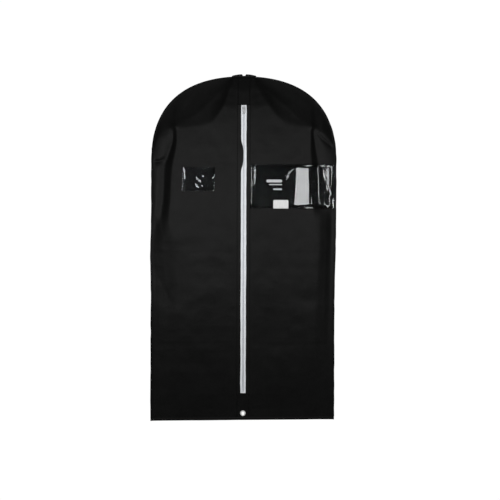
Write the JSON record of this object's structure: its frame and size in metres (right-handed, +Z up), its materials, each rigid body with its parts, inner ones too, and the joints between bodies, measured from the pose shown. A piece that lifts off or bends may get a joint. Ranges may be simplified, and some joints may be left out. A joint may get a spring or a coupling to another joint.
{
  "type": "garment bag",
  "caption": "Zipped garment bag with a domed top, a hook opening in its raised collar, a clear window, a card pocket and an eyelet in its closed hem.",
  "frame": {"origin": "centre of the hanger hook's opening, in the web of the collar at the top", "axes": "+Z up along the hook's axis; -Y out of the zipped front; +X towards the side with the window"},
  "size_m": [0.5898, 0.0665, 1.101],
  "materials": {
    "nonwoven_cloth": "black spun-bonded non-woven, matt with point bonds",
    "binding_tape": "black non-woven tape, matt",
    "clear_film": "clear glossy soft film",
    "zip_tape": "white woven tape",
    "zip_coil": "white polyester coil",
    "zip_stop": "white moulded",
    "slider_metal": "grey plated die casting",
    "eyelet_metal": "bright nickel plate",
    "label_cloth": "white, blank"
  },
  "bodies": {
    "bag": {"back_panel": "nonwoven_cloth", "front_panel_left": "nonwoven_cloth", "front_panel_right_upper": "nonwoven_cloth", "front_panel_right_lower": "nonwoven_cloth", "centre_band_top": "nonwoven_cloth", "centre_band_bottom": "nonwoven_cloth", "placket_left": "nonwoven_cloth", "placket_right": "nonwoven_cloth", "zip_tape_left": "zip_tape", "zip_tape_right": "zip_tape", "zip_coil_left": "zip_coil", "zip_coil_right": "zip_coil", "zip_top_stops": "zip_stop", "zip_bottom_stop": "zip_stop", "window_film": "clear_film", "blank_label": "label_cloth", "card_pocket_film": "clear_film", "card_pocket_strips": "clear_film", "edge_binding_left": "binding_tape", "edge_binding_right": "binding_tape", "hem_binding": "binding_tape", "top_collar": "nonwoven_cloth", "hem_eyelet": "eyelet_metal", "hem_eyelet_washer": "eyelet_metal"},
    "slider": {"slider_body": "slider_metal", "slider_bridge": "slider_metal"},
    "pull": {"pull_tab": "slider_metal"}
  },
  "joints": [
    {"name": "zip_slide", "type": "slide", "parent": "bag", "child": "slider", "axis": [0, 0.0208, -0.9998], "range_m": [0, 0.89]},
    {"name": "pull_hinge", "type": "hinge", "parent": "slider", "child": "pull", "pos_m": [0, -0.03836, -0.10549], "axis": [-1, 0, 0], "range_deg": [0, 170]}
  ]
}
